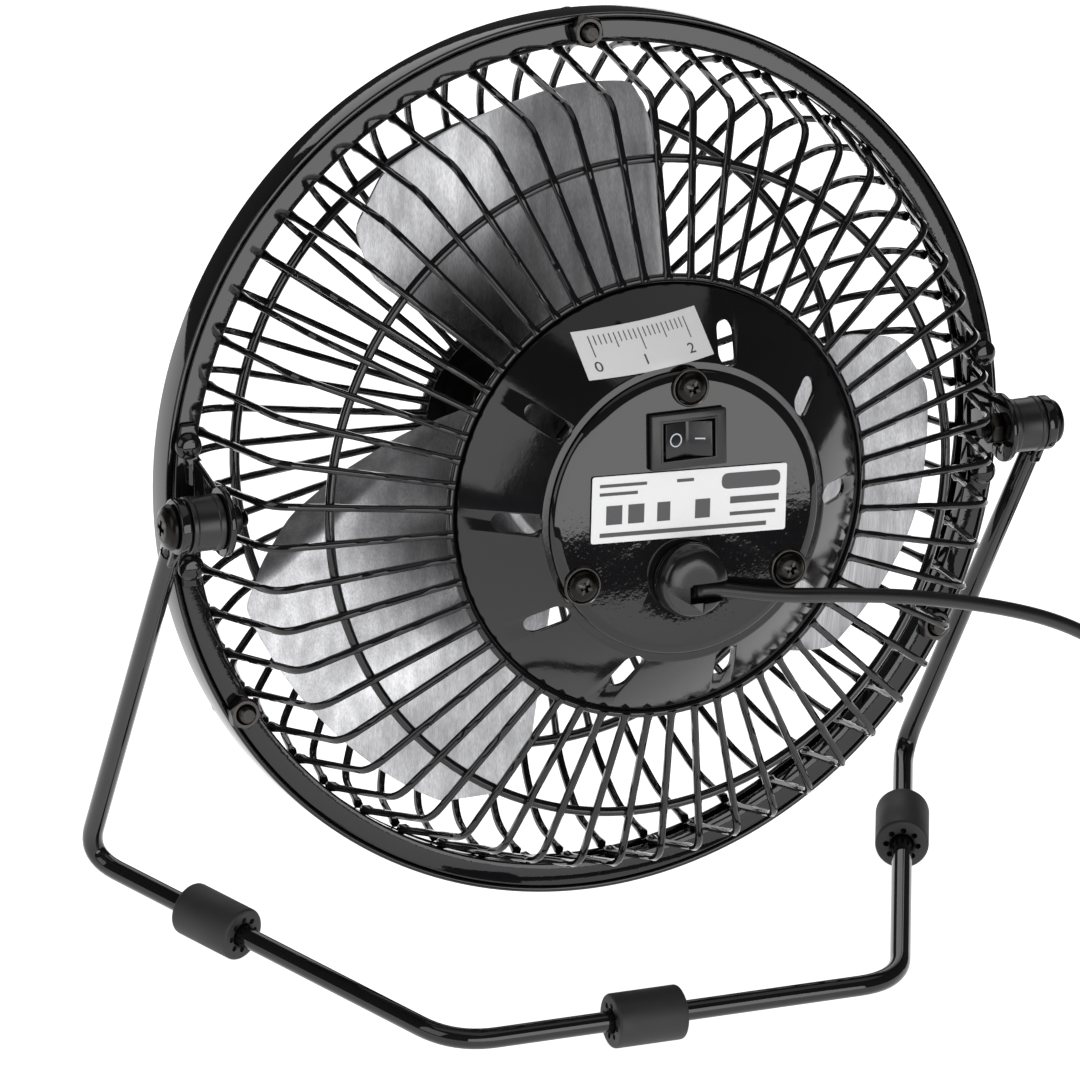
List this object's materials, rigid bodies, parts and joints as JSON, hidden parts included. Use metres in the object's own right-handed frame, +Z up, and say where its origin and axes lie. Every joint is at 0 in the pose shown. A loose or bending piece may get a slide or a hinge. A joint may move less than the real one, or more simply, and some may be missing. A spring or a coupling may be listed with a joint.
{
  "type": "desk fan",
  "caption": "Small desk fan with a round wire guard that tilts between the arms of a bent-rod stand, with a rocker switch and a USB cord.",
  "frame": {"origin": "on the table, under the middle of the fan and its stand, cord left out", "axes": "+Z up, +Y the way the fan blows, +X to the right as seen from behind the fan, along the tilt axis"},
  "size_m": [0.2613, 0.1102, 0.1757],
  "materials": {
    "gloss_black_paint": "gloss",
    "black_plastic": "satin",
    "black_rubber": "matte",
    "dark_steel": "blackened, satin",
    "plain_steel": "zinc, satin",
    "aluminium_sheet": "brushed",
    "brass_collar": "satin",
    "white_paper": "coated",
    "red_insulation": "gloss",
    "cord_skin": "satin"
  },
  "bodies": {
    "stand": {"stand_rod": "gloss_black_paint", "foot_left": "black_rubber", "foot_right": "black_rubber", "foot_rear": "black_rubber", "pivot_screw_left": "dark_steel", "pivot_screw_right": "dark_steel", "pivot_spacer_left": "black_plastic", "pivot_spacer_right": "black_plastic", "pivot_nut_left": "plain_steel", "pivot_nut_right": "plain_steel", "cord_lead": "cord_skin", "cord_coil": "cord_skin", "cord_tie": "black_rubber", "cord_tail": "cord_skin", "usb_plug_body": "black_plastic", "usb_plug_shell": "plain_steel", "usb_plug_tongue": "black_plastic"},
    "head": {"pivot_bracket_left": "gloss_black_paint", "pivot_bracket_right": "gloss_black_paint", "rear_rim": "gloss_black_paint", "front_rim": "gloss_black_paint", "rear_guard_wires": "gloss_black_paint", "front_guard_wires": "gloss_black_paint", "front_badge": "gloss_black_paint", "rear_plate": "gloss_black_paint", "motor_cover": "gloss_black_paint", "bracket_screw_left_upper": "gloss_black_paint", "bracket_screw_left_lower": "gloss_black_paint", "bracket_screw_right_upper": "gloss_black_paint", "bracket_screw_right_lower": "gloss_black_paint", "switch_body": "black_plastic", "cord_grip": "black_plastic", "motor_holder": "black_plastic", "guard_bolt_top": "dark_steel", "guard_bolt_left": "dark_steel", "guard_bolt_right": "dark_steel", "guard_nut_top": "dark_steel", "guard_nut_left": "dark_steel", "guard_nut_right": "dark_steel", "cover_screw_top": "dark_steel", "cover_screw_left": "dark_steel", "cover_screw_right": "dark_steel", "motor_can": "plain_steel", "rating_label": "white_paper", "scale_sticker": "white_paper", "lead_switch_to_motor": "red_insulation", "lead_cord_to_switch": "red_insulation"},
    "rotor": {"fan_blades": "aluminium_sheet", "blade_hub": "black_plastic", "motor_shaft": "plain_steel", "shaft_collar": "brass_collar"},
    "rocker": {"switch_rocker": "black_plastic"}
  },
  "joints": [
    {"name": "head_tilt", "type": "hinge", "parent": "stand", "child": "head", "pos_m": [0, -0.00025, 0.095], "axis": [1, 0, 0], "range_deg": [-45, 90], "deforming": ["cord_lead"]},
    {"name": "fan_spin", "type": "hinge", "parent": "head", "child": "rotor", "pos_m": [0, 0.01324, 0.09208], "axis": [0, 0.9774, -0.2113], "continuous": true},
    {"name": "switch_rock", "type": "hinge", "parent": "head", "child": "rocker", "pos_m": [0, -0.02909, 0.11587], "axis": [0, 0.2113, 0.9774], "range_deg": [0, 16]}
  ]
}
